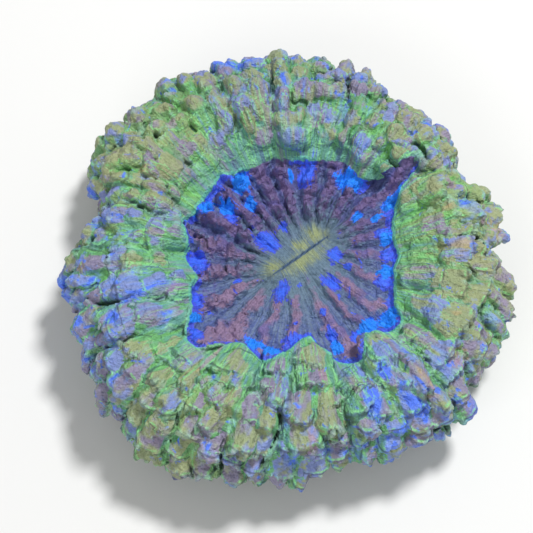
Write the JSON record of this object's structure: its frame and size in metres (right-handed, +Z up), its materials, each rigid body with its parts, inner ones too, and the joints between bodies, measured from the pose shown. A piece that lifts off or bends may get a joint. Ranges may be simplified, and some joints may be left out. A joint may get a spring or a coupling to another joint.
{
  "type": "doughnut coral",
  "caption": "Doughnut coral: one fleshy solitary polyp with a knobbly folded ring of flesh round a sunken oral disc, cut off flat below so that it stands.",
  "frame": {"origin": "centre of the bounding box, in plan, on the flat cut base that the polyp rests on", "axes": "+Z up, out of the mouth; -Y towards the side that faces the viewer; +X to the viewer's right"},
  "size_m": [0.127, 0.1327, 0.0364],
  "materials": {
    "flesh": "moist matte flesh, mottled green, mauve and blue"
  },
  "bodies": {
    "root": {"polyp": "flesh"}
  },
  "joints": []
}
